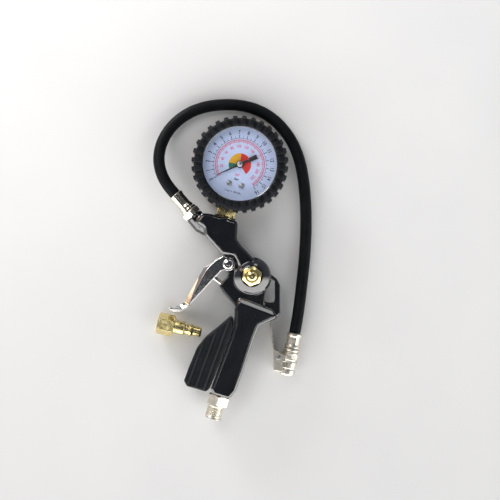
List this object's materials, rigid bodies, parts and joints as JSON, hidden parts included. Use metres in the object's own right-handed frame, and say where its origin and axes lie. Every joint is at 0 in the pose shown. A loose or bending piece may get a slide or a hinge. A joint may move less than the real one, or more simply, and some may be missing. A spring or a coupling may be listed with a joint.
{
  "type": "tyre inflator with gauge",
  "caption": "Pistol-grip tyre inflator: black cast body, chromed squeeze lever, round dial gauge in a rubber boot, short hose with clip-on chuck, loose brass quick plug.",
  "frame": {"origin": "below the middle of the box around the inflator, its gauge and the loose plug, without the hose and chuck, on the plane that it lies on", "axes": "+Z out of the dial, +Y from the air inlet towards the gauge, +X from the lever towards the hanging loop"},
  "size_m": [0.1258, 0.2555, 0.0352],
  "materials": {
    "cast_black": "gloss black paint on die-cast metal",
    "grip_black": "satin moulded plastic",
    "boot_rubber": "satin black rubber",
    "hose_rubber": "smooth black rubber",
    "seal_rubber": "matte rubber",
    "nickel": "bright nickel plate",
    "chrome": "bright chrome plate",
    "brass": "turned brass",
    "steel": "zinc-plated steel",
    "dial_white": "printed white dial",
    "lens_glass": "clear",
    "case_black": "satin black paint",
    "pointer_black": "matt black paint"
  },
  "bodies": {
    "inflator": {"body_casting": "cast_black", "finger_grip": "grip_black", "inlet_nipple": "nickel", "inlet_strainer": "steel", "trigger_pivot_pin": "chrome", "trigger_pivot_clip": "steel", "valve_bushing": "brass", "valve_spring": "steel", "bleed_bushing": "brass", "bleed_seal": "seal_rubber", "bleed_spring": "steel", "gauge_boot": "boot_rubber", "gauge_case": "case_black", "gauge_bezel": "case_black", "gauge_lens": "lens_glass", "lens_gasket": "seal_rubber", "gauge_dial": "dial_white", "dial_screw_1": "steel", "dial_screw_2": "steel", "gauge_stem": "brass", "stem_seal": "seal_rubber", "bourdon_tube": "brass", "bourdon_tip": "brass", "movement_lower_plate": "brass", "movement_upper_plate": "brass", "hairspring": "steel", "outlet_nipple": "nickel", "hose_ferrule_gun": "nickel", "hose": "hose_rubber", "hose_ferrule_chuck": "nickel", "chuck_tail": "nickel", "chuck_body": "nickel", "chuck_seal": "seal_rubber", "chuck_depressor": "brass", "chuck_pivot_pin": "steel", "chuck_clip_spring": "steel"},
    "trigger": {"trigger_lever": "chrome"},
    "valve_stem": {"valve_plunger": "nickel"},
    "bleed_button": {"bleed_button": "brass"},
    "sector": {"sector_gear": "brass"},
    "link": {"movement_link": "brass"},
    "pointer": {"pinion_spindle": "steel", "pointer": "pointer_black", "pointer_cap": "steel"},
    "chuck_clip": {"chuck_clip_lever": "nickel"},
    "loose_plug": {"quick_plug": "brass", "quick_plug_washer": "seal_rubber"}
  },
  "joints": [
    {"name": "trigger_squeeze", "type": "hinge", "parent": "inflator", "child": "trigger", "pos_m": [0.00559, 0.00391, 0.015], "axis": [0, 0, 1], "range_deg": [0, 12], "stiffness_Nm_per_rad": 1, "springref_deg": -8.59},
    {"name": "valve_push", "type": "slide", "parent": "inflator", "child": "valve_stem", "axis": [0.809, -0.5878, 0], "range_m": [0, 0.0034], "deforming": ["valve_spring"]},
    {"name": "bleed_press", "type": "slide", "parent": "inflator", "child": "bleed_button", "axis": [0, 0, -1], "range_m": [0, 0.002], "stiffness_N_per_m": 600, "springref_m": -0.002, "deforming": ["bleed_spring"]},
    {"name": "sector_turn", "type": "hinge", "parent": "inflator", "child": "sector", "pos_m": [0.02949, 0.0874, 0.0126], "axis": [0, 0, 1], "range_deg": [0, 32.75], "stiffness_Nm_per_rad": 0.01, "springref_deg": -1.15},
    {"name": "pointer_sweep", "type": "hinge", "parent": "inflator", "child": "pointer", "pos_m": [0.01469, 0.08201, 0.0126], "axis": [0, 0, 1], "range_deg": [-262, 0]},
    {"name": "link_swing", "type": "hinge", "parent": "sector", "child": "link", "pos_m": [0.02949, 0.0804, 0.0144], "axis": [0, 0, 1], "range_deg": [-32.75, 0]},
    {"name": "chuck_clip_open", "type": "hinge", "parent": "inflator", "child": "chuck_clip", "pos_m": [0.04512, -0.06957, 0.0083], "axis": [0, 0, 1], "range_deg": [-18, 0], "stiffness_Nm_per_rad": 0.5, "springref_deg": 11.46},
    {"name": "plug_lift", "type": "slide", "parent": "inflator", "child": "loose_plug", "axis": [0, 0, 1], "range_m": [0, 0.04]}
  ],
  "couplings": [
    {"joint": "valve_push", "follows": "trigger_squeeze", "m_per_rad": 0.0155},
    {"joint": "pointer_sweep", "follows": "sector_turn", "ratio": -8},
    {"joint": "link_swing", "follows": "sector_turn", "ratio": -1}
  ]
}
